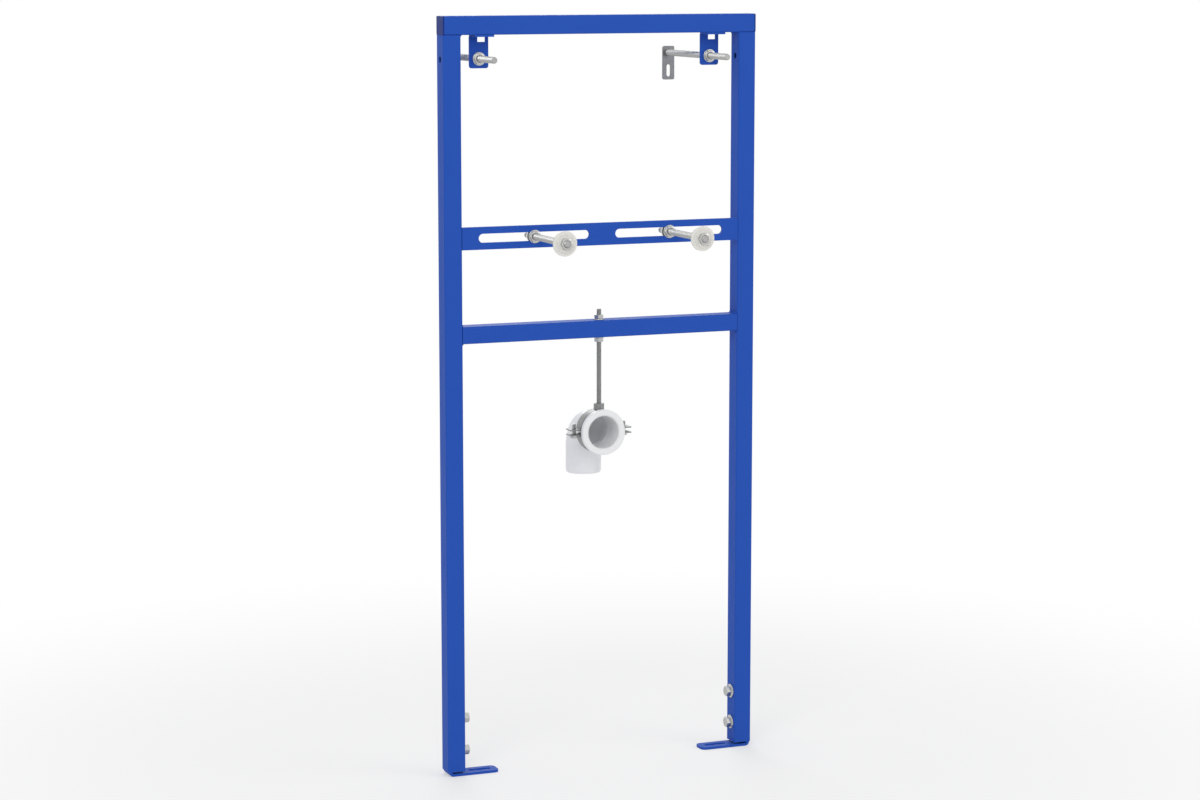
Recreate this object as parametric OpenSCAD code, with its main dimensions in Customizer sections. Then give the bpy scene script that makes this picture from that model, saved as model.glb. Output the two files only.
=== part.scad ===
// Wall-hung washbasin support frame in powder coated steel tube.
// Millimetres. X runs along the beam, Y from the room to the wall, Z up.
// The origin is on the underside of the left foot, below the middle of the left post.

/* [Frame] */
// Height from the underside of the feet to the top of the beam
frame_h = 1150; // [1100:1:1250]
// Outside width across both posts
frame_w = 506; // [490:1:560]
// Width of the tube seen from the room
profile_w = 28; // [26:0.5:30]
// Depth of the tube from the room side to the wall side
profile_d = 30; // [29:0.5:32]
// Wall thickness of the tube
profile_wall = 2; // [1.5:0.25:2.5]
// Outside corner radius of the tube
profile_r = 2.5; // [2:0.25:3.5]
// Bore through the side walls near the top of each post
side_hole_d = 10; // [8:0.5:12]

/* [Beam end caps] */
// Thickness of the cap flange over the tube end
cap_flange_t = 2; // [1.5:0.25:3]
// Depth of the cap plug inside the tube
cap_plug_l = 12; // [8:1:20]
// Gap round the cap plug inside the tube
cap_gap = 0.2; // [0.1:0.05:0.4]
// Wall thickness of the cap plug
cap_wall = 2; // [1.5:0.25:3]

/* [Slotted plate] */
// Height of the flat bar that holds the basin studs
plate_h = 34; // [32:0.5:40]
// Thickness of the flat bar
plate_t = 5; // [4:0.5:6]
// Height of the stud axes above the floor
stud_z = 821; // [790:1:850]
// Height of each long slot
slot_h = 13.5; // [12:0.5:15]
// Length of each long slot over the round ends
slot_l = 178; // [150:1:180]
// Distance of each slot middle from the middle of the frame
slot_x = 110; // [100:1:115]

/* [Lower bar] */
// Height of the lower bar section
bar_h = 26; // [22:0.5:30]
// Height of the underside of the lower bar
bar_z = 663; // [640:1:680]

/* [Feet] */
// Thickness of the bent foot plate
foot_t = 4; // [3:0.5:4.5]
// Inside radius of the foot bend
foot_bend_r = 3; // [2:0.5:4]
// Height of the foot leg inside the post
foot_leg_h = 125; // [110:1:160]
// Width of the foot leg inside the post
foot_leg_w = 25; // [20:0.5:25]
// Width of the foot base
foot_base_w = 29; // [26:0.5:29]
// Reach of the foot toe past the post
foot_toe_l = 55; // [45:1:70]
// Corner radius of the toe
foot_corner_r = 8; // [4:0.5:12]
// Length of the floor bolt slot over the round ends
foot_slot_l = 36; // [30:1:40]
// Width of the floor bolt slot
foot_slot_w = 9; // [8:0.5:11]
// Distance from the post to the middle of the floor bolt slot
foot_slot_x = 27; // [24:1:32]
// Height of the lower foot bolt
foot_bolt_z = 38; // [32:1:44]
// Distance between the two foot bolts
foot_bolt_gap = 50; // [40:1:60]

/* [Wall fixing] */
// Distance of each wall rod from the middle of the frame
wall_rod_x = 187.5; // [150:0.5:195]
// Height of the wall rod axes above the floor
wall_rod_z = 1086; // [1084:1:1090]
// Reach of the wall rod in front of the frame
wall_rod_front = 40; // [20:1:60]
// Gap from the back of the frame to the wall
wall_gap = 157; // [80:1:180]
// Width of the wall bracket
bracket_w = 30; // [28:0.5:36]
// Height of the wall bracket below the beam
bracket_h = 50; // [48:0.5:56]
// Thickness of the wall bracket
bracket_t = 3; // [2:0.5:4]
// Inside radius of the bracket bend
bracket_bend_r = 2; // [1:0.5:3]
// Corner radius at the foot of the bracket
bracket_corner_r = 4; // [2:0.5:6]
// Width of the window at the bracket bend
window_w = 12.5; // [8:0.5:14]
// Height of the window at the bracket bend
window_h = 8; // [6:0.5:10]
// Sideways offset of the window
window_x = 4; // [0:0.5:5]
// Width of the wall plate
wall_plate_w = 20; // [18:0.5:26]
// Height of the wall plate
wall_plate_h = 53; // [50:0.5:60]
// Height of the wall plate above the rod axis
wall_plate_up = 10.5; // [9:0.5:14]
// Thickness of the wall plate
wall_plate_t = 3; // [2.5:0.5:4]
// Corner radius of the wall plate
wall_plate_r = 3; // [2:0.5:5]
// Width of the screw slot in the wall plate
wall_slot_w = 6.5; // [5:0.5:8]
// Length of the screw slot over the round ends
wall_slot_l = 19; // [14:0.5:20]
// Distance from the rod axis down to the middle of the screw slot
wall_slot_drop = 28; // [26:0.5:30]

/* [Basin studs] */
// Distance of each stud from the middle of the frame
stud_x = 110; // [70:1:150]
// Reach of the stud in front of the frame
stud_front = 136; // [110:1:160]
// Reach of the stud behind the front of the frame
stud_back = 32; // [26:1:40]
// Diameter of the bush flange
bush_d = 37.5; // [32:0.5:40]
// Thickness of the bush flange
bush_t = 4; // [3:0.5:5]
// Diameter of the raised ring on the bush
bush_ring_d = 28; // [24:0.5:30]
// Height of the raised ring on the bush
bush_ring_h = 2.5; // [1.5:0.5:3]
// Distance from the stud end back to the bush flange
bush_back = 9.5; // [9:0.5:14]

/* [Hanger and clamp] */
// Height of the top of the hanger rod
hanger_top_z = 705.5; // [702:0.5:715]
// Outside diameter of the nut on top of the clamp
boss_d = 16; // [14:0.5:18]
// Height of the nut on top of the clamp
boss_h = 9; // [7:0.5:12]
// Width of the clamp band
clamp_w = 20; // [16:0.5:22]
// Thickness of the clamp band
clamp_t = 2; // [1.5:0.25:2.5]
// Thickness of the rubber lining
lining_t = 3; // [2:0.25:4]
// Gap between the two clamp halves
clamp_split = 6; // [4:0.5:8]
// Reach of the clamp ears from the clamp axis
ear_x = 50; // [48:0.5:54]
// Distance of each clamp screw from the clamp axis
clamp_screw_x = 41; // [40:0.5:43]

/* [Drain elbow] */
// Height of the socket axis above the floor
drain_z = 517.5; // [500:0.5:530]
// Outside diameter of the socket rim
rim_d = 70; // [68:0.5:74]
// Length of the socket rim
rim_l = 9; // [7:0.5:10]
// Reach of the socket rim in front of the frame
rim_front = 6.5; // [5:0.5:9]
// Bore of the socket
socket_d = 50; // [48:0.5:52]
// Outside diameter of the socket body
body_d = 58; // [57:0.5:60]
// Depth of the socket
socket_l = 46; // [42:0.5:50]
// Outside diameter of the outlet spigot
spigot_d = 55; // [52:0.5:56]
// Bore of the bend and the spigot
waterway_d = 48; // [44:0.5:50]
// Distance from the front of the frame back to the spigot axis
spigot_y = 79; // [78:0.5:90]
// Radius of the bend on its centre line
bend_r = 33; // [31:0.5:33]
// Height of the spigot end above the floor
spigot_z = 444; // [430:1:455]

/* [Fasteners] */
// Thread diameter of the studs, wall rods and foot bolts
m10_d = 10; // [10:0.1:10]
// Hexagon width of the M10 nuts
m10_af = 16; // [15:0.5:17]
// Height of the full M10 nuts
m10_nut_h = 8; // [7:0.5:9]
// Height of the thin M10 nuts
m10_thin_h = 5; // [4:0.5:6]
// Outside diameter of the M10 washers
m10_washer_d = 20; // [20:0.5:21]
// Thickness of the M10 washers
m10_washer_t = 2; // [1.5:0.25:2.5]
// Thread diameter of the hanger rod
m8_d = 8; // [8:0.1:8]
// Hexagon width of the M8 nuts
m8_af = 13; // [12:0.5:14]
// Height of the M8 nuts
m8_nut_h = 6.5; // [6:0.25:8]
// Outside diameter of the M8 washers
m8_washer_d = 16; // [16:0.5:17]
// Thickness of the M8 washers
m8_washer_t = 1.6; // [1.5:0.1:2]
// Flange diameter of the foot bolts
bolt_flange_d = 21.8; // [20:0.2:22]
// Thickness of the foot bolt flange
bolt_flange_t = 2.5; // [2:0.25:3]
// Hexagon width of the foot bolt head
bolt_af = 15; // [13:0.5:16]
// Height of the foot bolt head with its flange
bolt_head_h = 9.7; // [8:0.1:11]
// Thread diameter of the clamp screws
m6_d = 6; // [5:0.5:6]
// Hexagon width of the clamp screw heads
screw_head_d = 10; // [9:0.5:10]
// Head height of the clamp screws
screw_head_h = 4; // [3:0.5:5]
// Length of the clamp screws below the head
screw_l = 18; // [16:1:22]

/* [Hidden] */
$fn = 64;
cut = 1;
m10_hole = m10_d + 1;
m8_hole = m8_d + 1;
m6_hole = m6_d + 0.6;
rod_chamfer = 1;
nut_chamfer = 1.2;
mouth_chamfer = 2;
spigot_chamfer = 1.5;
spigot_chamfer_l = 4;
post_pitch = frame_w - profile_w;
mid_x = post_pitch / 2;
front_y = -profile_d / 2;
back_y = profile_d / 2;
clear_w = frame_w - 2 * profile_w;
beam_z = frame_h - profile_w;
beam_l = frame_w - 2 * cap_flange_t;
post_z = foot_t + foot_bend_r;
post_l = beam_z - post_z;
inner_w = profile_w - 2 * profile_wall;
inner_d = profile_d - 2 * profile_wall;
inner_r = profile_r - profile_wall + 0.5;
plate_len = clear_w;
wall_y = back_y + wall_gap;
wall_rod_l = profile_d + wall_rod_front + wall_gap;
foot_outer_x = profile_w / 2 - profile_wall;
foot_toe_x = profile_w / 2 + foot_toe_l;
bolt_l = profile_w - profile_wall - 0.5;
bar_top_z = bar_z + bar_h;
clamp_r = body_d / 2 + lining_t;
clamp_outer_r = clamp_r + clamp_t;
boss_z = drain_z + clamp_outer_r - 0.5;
hanger_z = boss_z + 1;
ear_l = ear_x - clamp_r;
bush_y = front_y - stud_front + bush_back;
rim_y = front_y - rim_front;
spigot_axis_y = front_y + spigot_y;
waterway_start_y = rim_y + socket_l;
bend_start_y = spigot_axis_y - bend_r;

// Flat outlines

// Rectangle about the origin with round corners
module round_rect(w, h, r) {
  square([w - 2 * r, h], center = true);
  square([w, h - 2 * r], center = true);
  for (sx = [-1, 1], sy = [-1, 1])
    translate([sx * (w / 2 - r), sy * (h / 2 - r)])
      circle(r);
}

// Slot along X with round ends
module slot_shape(l, w) {
  square([l - w, w], center = true);
  for (s = [-1, 1])
    translate([s * (l - w) / 2, 0])
      circle(w / 2);
}

// Hollow tube section
module tube_shape(w, h) {
  difference() {
    round_rect(w, h, profile_r);
    round_rect(w - 2 * profile_wall, h - 2 * profile_wall, inner_r);
  }
}

// Side view of a bent plate: one leg up, one leg along +X, bend at the origin corner
module bend_shape(leg_h, leg_l, t, r) {
  translate([0, t + r])
    square([t, leg_h - t - r]);
  translate([t + r, 0])
    square([leg_l - t - r, t]);
  intersection() {
    translate([t + r, t + r])
      difference() {
        circle(t + r);
        circle(r);
      }
    square(t + r);
  }
}

// Solids along the Y axis

// Round bar from y0 to y1 at the given place
module bar_y(x, y0, y1, z, d) {
  translate([x, y0, z])
    rotate([-90, 0, 0])
      cylinder(h = y1 - y0, d = d);
}

// Upright threaded bar with both ends chamfered
module chamfered_bar(l, d, c) {
  translate([0, 0, c])
    cylinder(h = l - 2 * c, d = d);
  cylinder(h = c, d1 = d - 2 * c, d2 = d);
  translate([0, 0, l - c])
    cylinder(h = c, d1 = d, d2 = d - 2 * c);
}

// Upright hexagon with the corners turned off at the top, and at the foot too when both is true
module turned_hexagon(af, h, both) {
  corner_d = af / cos(30);
  turned_h = nut_chamfer * tan(30);
  intersection() {
    cylinder(h = h, d = corner_d, $fn = 6);
    union() {
      if (both)
        cylinder(h = turned_h, d1 = corner_d - 2 * nut_chamfer, d2 = corner_d);
      translate([0, 0, both ? turned_h : 0])
        cylinder(h = h - (both ? 2 : 1) * turned_h, d = corner_d + cut);
      translate([0, 0, h - turned_h])
        cylinder(h = turned_h, d1 = corner_d, d2 = corner_d - 2 * nut_chamfer);
    }
  }
}

// Washer from y0 towards the wall
module washer_y(x, y0, z, od, id, t) {
  difference() {
    bar_y(x, y0, y0 + t, z, od);
    bar_y(x, y0 - cut, y0 + t + cut, z, id);
  }
}

// Hexagon nut from y0 towards the wall
module nut_y(x, y0, z, af, id, h) {
  difference() {
    translate([x, y0, z])
      rotate([-90, 0, 0])
        turned_hexagon(af, h, true);
    bar_y(x, y0 - cut, y0 + h + cut, z, id);
  }
}

// Copies the child for the right side as a mirror image of the left side
module right_side() {
  translate([post_pitch, 0, 0])
    mirror([1, 0, 0])
      children();
}

// Frame tubes

// Post in the place of the left post
module post() {
  color("royalblue")
    difference() {
      translate([0, 0, post_z])
        linear_extrude(post_l)
          tube_shape(profile_w, profile_d);
      translate([-profile_w, 0, wall_rod_z])
        rotate([0, 90, 0])
          cylinder(h = 2 * profile_w, d = side_hole_d);
      for (i = [0, 1])
        translate([0, 0, foot_bolt_z + i * foot_bolt_gap])
          rotate([0, 90, 0])
            cylinder(h = profile_w, d = m10_hole);
    }
}

module left_post() {
  post();
}

module right_post() {
  right_side()
    post();
}

module top_beam() {
  color("royalblue")
    translate([mid_x - beam_l / 2, 0, beam_z + profile_w / 2])
      rotate([90, 0, 90])
        linear_extrude(beam_l)
          tube_shape(profile_d, profile_w);
}

// Cap in the left end of the beam
module beam_cap() {
  color("midnightblue")
    translate([-profile_w / 2, 0, beam_z + profile_w / 2])
      rotate([90, 0, 90])
        difference() {
          union() {
            linear_extrude(cap_flange_t)
              round_rect(profile_d, profile_w, profile_r);
            linear_extrude(cap_flange_t + cap_plug_l)
              round_rect(inner_d - 2 * cap_gap, inner_w - 2 * cap_gap, inner_r);
          }
          translate([0, 0, cap_flange_t])
            linear_extrude(cap_plug_l + cut)
              square([inner_d - 2 * cap_gap - 2 * cap_wall, inner_w - 2 * cap_gap - 2 * cap_wall], center = true);
        }
}

module left_beam_cap() {
  beam_cap();
}

module right_beam_cap() {
  right_side()
    beam_cap();
}

module slotted_plate() {
  color("royalblue")
    translate([mid_x, front_y + plate_t, stud_z])
      rotate([90, 0, 0])
        linear_extrude(plate_t)
          difference() {
            square([plate_len, plate_h], center = true);
            for (s = [-1, 1])
              translate([s * slot_x, 0])
                slot_shape(slot_l, slot_h);
          }
}

module lower_bar() {
  color("royalblue")
    difference() {
      translate([mid_x - clear_w / 2, 0, bar_z + bar_h / 2])
        rotate([90, 0, 90])
          linear_extrude(clear_w)
            tube_shape(profile_d, bar_h);
      translate([mid_x, 0, bar_z - cut])
        cylinder(h = bar_h + 2 * cut, d = m8_hole);
    }
}

// Feet

// Bent foot plate of the left post
module foot() {
  color("royalblue")
    difference() {
      union() {
        translate([-foot_outer_x, foot_leg_w / 2, 0])
          rotate([90, 0, 0])
            linear_extrude(foot_leg_w)
              bend_shape(foot_leg_h, foot_outer_x + profile_w / 2, foot_t, foot_bend_r);
        intersection() {
          translate([-foot_outer_x, foot_base_w / 2, 0])
            rotate([90, 0, 0])
              linear_extrude(foot_base_w)
                bend_shape(foot_t + foot_bend_r + cut / 2, foot_outer_x + foot_toe_x, foot_t, foot_bend_r);
          translate([-foot_outer_x, 0, 0])
            linear_extrude(post_z)
              toe_shape();
        }
      }
      translate([profile_w / 2 + foot_slot_x, 0, -cut])
        linear_extrude(foot_t + 2 * cut)
          slot_shape(foot_slot_l, foot_slot_w);
      for (i = [0, 1])
        translate([-foot_outer_x - cut, 0, foot_bolt_z + i * foot_bolt_gap])
          rotate([0, 90, 0])
            cylinder(h = foot_t + 2 * cut, d = m10_d);
    }
}

// Plan view of the foot base with round toe corners
module toe_shape() {
  base_l = foot_outer_x + foot_toe_x;
  translate([0, -foot_base_w / 2])
    square([base_l - foot_corner_r, foot_base_w]);
  translate([0, -foot_base_w / 2 + foot_corner_r])
    square([base_l, foot_base_w - 2 * foot_corner_r]);
  for (s = [-1, 1])
    translate([base_l - foot_corner_r, s * (foot_base_w / 2 - foot_corner_r)])
      circle(foot_corner_r);
}

module left_foot() {
  foot();
}

module right_foot() {
  right_side()
    foot();
}

// Flange head bolts of the left foot
module foot_bolts() {
  color("silver")
    for (i = [0, 1])
      translate([profile_w / 2, 0, foot_bolt_z + i * foot_bolt_gap])
        rotate([0, 90, 0]) {
          cylinder(h = bolt_flange_t / 2, d = bolt_flange_d);
          translate([0, 0, bolt_flange_t / 2])
            cylinder(h = bolt_flange_t, d1 = bolt_flange_d, d2 = bolt_af / cos(30));
          turned_hexagon(bolt_af, bolt_head_h, false);
          translate([0, 0, -bolt_l])
            chamfered_bar(bolt_l + 2 * rod_chamfer, m10_d, rod_chamfer);
        }
}

module left_foot_bolts() {
  foot_bolts();
}

module right_foot_bolts() {
  right_side()
    foot_bolts();
}

// Wall fixing

// Face of the wall bracket seen from the room, hanging from the origin
module bracket_face() {
  translate([0, -bracket_h / 2 + bracket_corner_r / 2])
    square([bracket_w, bracket_h - bracket_corner_r], center = true);
  translate([0, -bracket_h / 2])
    round_rect(bracket_w, bracket_h, bracket_corner_r);
}

// Bent bracket under the beam at the given X
module wall_bracket(x) {
  color("royalblue")
    difference() {
      intersection() {
        translate([x - bracket_w / 2, back_y, beam_z])
          rotate([90, 0, 90])
            linear_extrude(bracket_w)
              rotate(180)
                bend_shape(bracket_h, profile_d - 1, bracket_t, bracket_bend_r);
        translate([x, back_y + cut, beam_z])
          rotate([90, 0, 0])
            linear_extrude(profile_d + 2 * cut)
              bracket_face();
      }
      bar_y(x, front_y, back_y + cut, wall_rod_z, m10_hole);
      translate([x + window_x, back_y, beam_z - bracket_t - window_h / 2])
        cube([window_w, 2 * (bracket_t + bracket_bend_r), window_h], center = true);
    }
}

module left_wall_bracket() {
  wall_bracket(mid_x - wall_rod_x);
}

module right_wall_bracket() {
  wall_bracket(mid_x + wall_rod_x);
}

// Threaded rod from the wall plate to the room side
module wall_rod(x) {
  color("silver")
    translate([x, front_y - wall_rod_front, wall_rod_z])
      rotate([-90, 0, 0])
        chamfered_bar(wall_rod_l, m10_d, rod_chamfer);
}

module left_wall_rod() {
  wall_rod(mid_x - wall_rod_x);
}

module right_wall_rod() {
  wall_rod(mid_x + wall_rod_x);
}

// Plate against the wall with a hole for the rod and a slot for the wall screw
module wall_plate(x) {
  plate_mid = wall_rod_z + wall_plate_up - wall_plate_h / 2;
  color("silver")
    difference() {
      translate([x, wall_y, plate_mid])
        rotate([90, 0, 0])
          linear_extrude(wall_plate_t)
            round_rect(wall_plate_w, wall_plate_h, wall_plate_r);
      bar_y(x, back_y, wall_y + cut, wall_rod_z, m10_d);
      translate([x, wall_y + cut, wall_rod_z - wall_slot_drop])
        rotate([90, 0, 0])
          linear_extrude(wall_plate_t + 2 * cut)
            rotate(90)
              slot_shape(wall_slot_l, wall_slot_w);
    }
}

module left_wall_plate() {
  wall_plate(mid_x - wall_rod_x);
}

module right_wall_plate() {
  wall_plate(mid_x + wall_rod_x);
}

// Washers in front of and behind the bracket
module wall_rod_washers(x) {
  color("gainsboro") {
    washer_y(x, back_y - bracket_t - m10_washer_t, wall_rod_z, m10_washer_d, m10_d, m10_washer_t);
    washer_y(x, back_y, wall_rod_z, m10_washer_d, m10_d, m10_washer_t);
  }
}

module left_wall_rod_washers() {
  wall_rod_washers(mid_x - wall_rod_x);
}

module right_wall_rod_washers() {
  wall_rod_washers(mid_x + wall_rod_x);
}

// Thin nut in front of the bracket and full nut behind it
module wall_rod_nuts(x) {
  front_nut_y = back_y - bracket_t - m10_washer_t - m10_thin_h;
  color("gainsboro") {
    nut_y(x, front_nut_y, wall_rod_z, m10_af, m10_d, m10_thin_h);
    nut_y(x, back_y + m10_washer_t, wall_rod_z, m10_af, m10_d, m10_nut_h);
  }
}

module left_wall_rod_nuts() {
  wall_rod_nuts(mid_x - wall_rod_x);
}

module right_wall_rod_nuts() {
  wall_rod_nuts(mid_x + wall_rod_x);
}

// Basin studs

// Threaded stud through the slotted plate
module basin_stud(x) {
  color("silver")
    translate([x, front_y - stud_front, stud_z])
      rotate([-90, 0, 0])
        chamfered_bar(stud_front + stud_back, m10_d, rod_chamfer);
}

module left_basin_stud() {
  basin_stud(mid_x - stud_x);
}

module right_basin_stud() {
  basin_stud(mid_x + stud_x);
}

// Washers on both faces of the slotted plate
module stud_washers(x) {
  color("gainsboro") {
    washer_y(x, front_y - m10_washer_t, stud_z, m10_washer_d, m10_d, m10_washer_t);
    washer_y(x, front_y + plate_t, stud_z, m10_washer_d, m10_d, m10_washer_t);
  }
}

module left_stud_washers() {
  stud_washers(mid_x - stud_x);
}

module right_stud_washers() {
  stud_washers(mid_x + stud_x);
}

// Thin nut in front of the slotted plate and full nut behind it
module stud_nuts(x) {
  color("gainsboro") {
    nut_y(x, front_y - m10_washer_t - m10_thin_h, stud_z, m10_af, m10_d, m10_thin_h);
    nut_y(x, front_y + plate_t + m10_washer_t, stud_z, m10_af, m10_d, m10_nut_h);
  }
}

module left_stud_nuts() {
  stud_nuts(mid_x - stud_x);
}

module right_stud_nuts() {
  stud_nuts(mid_x + stud_x);
}

// Plastic bush that presses on the basin
module basin_bush(x) {
  color("whitesmoke")
    difference() {
      union() {
        bar_y(x, bush_y, bush_y + bush_t, stud_z, bush_d);
        bar_y(x, bush_y - bush_ring_h, bush_y + cut, stud_z, bush_ring_d);
      }
      bar_y(x, bush_y - bush_ring_h - cut, bush_y + bush_t + cut, stud_z, m10_d);
    }
}

module left_basin_bush() {
  basin_bush(mid_x - stud_x);
}

module right_basin_bush() {
  basin_bush(mid_x + stud_x);
}

// Nut on the bush
module bush_nut(x) {
  color("gainsboro")
    nut_y(x, bush_y - bush_ring_h - m10_thin_h, stud_z, m10_af, m10_d, m10_thin_h);
}

module left_bush_nut() {
  bush_nut(mid_x - stud_x);
}

module right_bush_nut() {
  bush_nut(mid_x + stud_x);
}

// Hanger and clamp

// Ring standing on Z at the hanger rod
module hanger_ring(z0, h, od) {
  translate([mid_x, 0, z0])
    difference() {
      cylinder(h = h, d = od);
      translate([0, 0, -cut])
        cylinder(h = h + 2 * cut, d = m8_d);
    }
}

// Hexagon nut standing on Z at the hanger rod
module hanger_nut(z0) {
  translate([mid_x, 0, z0])
    difference() {
      turned_hexagon(m8_af, m8_nut_h, true);
      translate([0, 0, -cut])
        cylinder(h = m8_nut_h + 2 * cut, d = m8_d);
    }
}

module hanger_rod() {
  color("silver")
    translate([mid_x, 0, hanger_z])
      chamfered_bar(hanger_top_z - hanger_z, m8_d, rod_chamfer);
}

module hanger_washers() {
  color("gainsboro") {
    hanger_ring(bar_top_z, m8_washer_t, m8_washer_d);
    hanger_ring(bar_z - m8_washer_t, m8_washer_t, m8_washer_d);
  }
}

module hanger_nuts() {
  color("gainsboro") {
    hanger_nut(bar_top_z + m8_washer_t);
    hanger_nut(bar_z - m8_washer_t - m8_nut_h);
  }
}

// Band of the clamp seen from the room, upper half, centred on the origin
module band_shape() {
  difference() {
    intersection() {
      circle(clamp_outer_r);
      translate([-ear_x, clamp_split / 2])
        square([2 * ear_x, ear_x]);
    }
    circle(clamp_r);
  }
  for (s = [-1, 1])
    translate([s * (clamp_r + ear_l / 2), clamp_split / 2 + clamp_t / 2])
      square([ear_l, clamp_t], center = true);
}

// Half clamp about the origin with its axis along Y and the given holes in its ears
module clamp_half(ear_hole) {
  difference() {
    translate([0, clamp_w / 2, 0])
      rotate([90, 0, 0])
        linear_extrude(clamp_w)
          band_shape();
    for (s = [-1, 1])
      translate([s * clamp_screw_x, 0, clamp_split / 2 - cut])
        cylinder(h = clamp_t + 2 * cut, d = ear_hole);
  }
}

module clamp_upper_half() {
  color("silver")
    difference() {
      translate([mid_x, 0, 0]) {
        translate([0, 0, drain_z])
          clamp_half(m6_d);
        translate([0, 0, boss_z])
          cylinder(h = boss_h, d = boss_d);
      }
      translate([mid_x, 0, hanger_z])
        cylinder(h = boss_h, d = m8_d);
      bar_y(mid_x, -clamp_w, clamp_w, drain_z, 2 * clamp_r);
    }
}

module clamp_lower_half() {
  color("silver")
    translate([mid_x, 0, drain_z])
      mirror([0, 0, 1])
        clamp_half(m6_hole);
}

module clamp_lining() {
  color("black")
    translate([mid_x, clamp_w / 2, drain_z])
      rotate([90, 0, 0])
        linear_extrude(clamp_w)
          difference() {
            circle(clamp_r);
            circle(body_d / 2);
            square([2 * ear_x, clamp_split], center = true);
          }
}

module clamp_screws() {
  head_z = drain_z - clamp_split / 2 - clamp_t - screw_head_h;
  color("gainsboro")
    for (s = [-1, 1])
      translate([mid_x + s * clamp_screw_x, 0, head_z]) {
        turned_hexagon(screw_head_d, screw_head_h, false);
        chamfered_bar(screw_head_h + screw_l, m6_d, rod_chamfer);
      }
}

// Drain elbow

// Quarter bend of the given diameter between the socket and the spigot
module elbow_bend(d) {
  translate([mid_x, bend_start_y, drain_z - bend_r])
    rotate([90, 0, 90])
      rotate_extrude(angle = 90)
        translate([bend_r, 0])
          circle(d / 2);
}

module drain_elbow() {
  color("whitesmoke")
    difference() {
      union() {
        bar_y(mid_x, rim_y, rim_y + rim_l, drain_z, rim_d);
        bar_y(mid_x, rim_y, waterway_start_y, drain_z, body_d);
        bar_y(mid_x, rim_y, bend_start_y, drain_z, spigot_d);
        elbow_bend(spigot_d);
        translate([mid_x, spigot_axis_y, spigot_z]) {
          cylinder(h = spigot_chamfer_l, d1 = spigot_d - 2 * spigot_chamfer, d2 = spigot_d);
          translate([0, 0, spigot_chamfer_l])
            cylinder(h = drain_z - bend_r - spigot_z - spigot_chamfer_l, d = spigot_d);
        }
      }
      translate([mid_x, rim_y, drain_z])
        rotate([-90, 0, 0])
          cylinder(h = mouth_chamfer, d1 = socket_d + 2 * mouth_chamfer, d2 = socket_d);
      bar_y(mid_x, rim_y - cut, waterway_start_y - rim_l / 2, drain_z, socket_d);
      bar_y(mid_x, rim_y - cut, bend_start_y, drain_z, waterway_d);
      elbow_bend(waterway_d);
      translate([mid_x, spigot_axis_y, spigot_z - cut])
        cylinder(h = drain_z - bend_r - spigot_z + cut, d = waterway_d);
    }
}

left_post();
right_post();
top_beam();
left_beam_cap();
right_beam_cap();
slotted_plate();
lower_bar();
left_foot();
right_foot();
left_foot_bolts();
right_foot_bolts();
left_wall_bracket();
right_wall_bracket();
left_wall_rod();
right_wall_rod();
left_wall_plate();
right_wall_plate();
left_wall_rod_washers();
right_wall_rod_washers();
left_wall_rod_nuts();
right_wall_rod_nuts();
left_basin_stud();
right_basin_stud();
left_stud_washers();
right_stud_washers();
left_stud_nuts();
right_stud_nuts();
left_basin_bush();
right_basin_bush();
left_bush_nut();
right_bush_nut();
hanger_rod();
hanger_washers();
hanger_nuts();
clamp_upper_half();
clamp_lower_half();
clamp_lining();
clamp_screws();
drain_elbow();
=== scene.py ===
"""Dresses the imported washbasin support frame.

Powder coated steel tubes, zinc plated threads and fasteners, galvanised sheet fixings, a rubber lined
pipe clamp and a moulded drain elbow, in the frame's own coordinates and in metres.
"""

import logging
import math
from dataclasses import dataclass
from enum import Enum
from typing import Any, Iterable, Sequence

import bmesh
import bpy
from mathutils import Matrix, Vector


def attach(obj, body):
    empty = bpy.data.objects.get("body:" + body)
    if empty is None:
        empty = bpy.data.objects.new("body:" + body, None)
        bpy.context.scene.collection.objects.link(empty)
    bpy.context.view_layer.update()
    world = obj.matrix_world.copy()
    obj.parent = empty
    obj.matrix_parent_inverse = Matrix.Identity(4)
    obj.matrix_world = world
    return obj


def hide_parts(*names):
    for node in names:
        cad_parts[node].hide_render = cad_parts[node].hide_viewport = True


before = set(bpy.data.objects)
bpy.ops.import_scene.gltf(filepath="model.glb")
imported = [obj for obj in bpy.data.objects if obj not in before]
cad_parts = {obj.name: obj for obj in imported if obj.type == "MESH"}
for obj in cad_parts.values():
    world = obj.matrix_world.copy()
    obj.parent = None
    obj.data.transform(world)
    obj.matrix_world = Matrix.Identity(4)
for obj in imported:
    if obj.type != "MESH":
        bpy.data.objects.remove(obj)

LOG = logging.getLogger("washbasin_frame")
MM = 0.001
BODY = "root"

Ring = list[Vector]
Outline = list[tuple[float, float]]


class Axis(Enum):
    """Direction in which a turned or extruded piece points, as the frame's axis."""

    X = "x"
    Y = "y"
    Z = "z"

    def matrix(self, place: Sequence[float]) -> Matrix:
        """Gives the matrix that turns +Z to this axis and moves the origin to a place.

        Args:
            place: Point in millimetres.

        Returns:
            The matrix, in metres.
        """
        turn = {
            Axis.X: Matrix(((0, 0, 1), (1, 0, 0), (0, 1, 0))),
            Axis.Y: Matrix(((1, 0, 0), (0, 0, 1), (0, -1, 0))),
            Axis.Z: Matrix.Identity(3),
        }[self]
        return Matrix.Translation(Vector(place) * MM) @ turn.to_4x4()


class Side(Enum):
    """Left or right half of the frame, as seen from the room."""

    LEFT = "left"
    RIGHT = "right"

    @property
    def sign(self) -> float:
        """Minus one on the left and one on the right."""
        return -1.0 if self is Side.LEFT else 1.0


# Colour and node helpers


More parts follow.
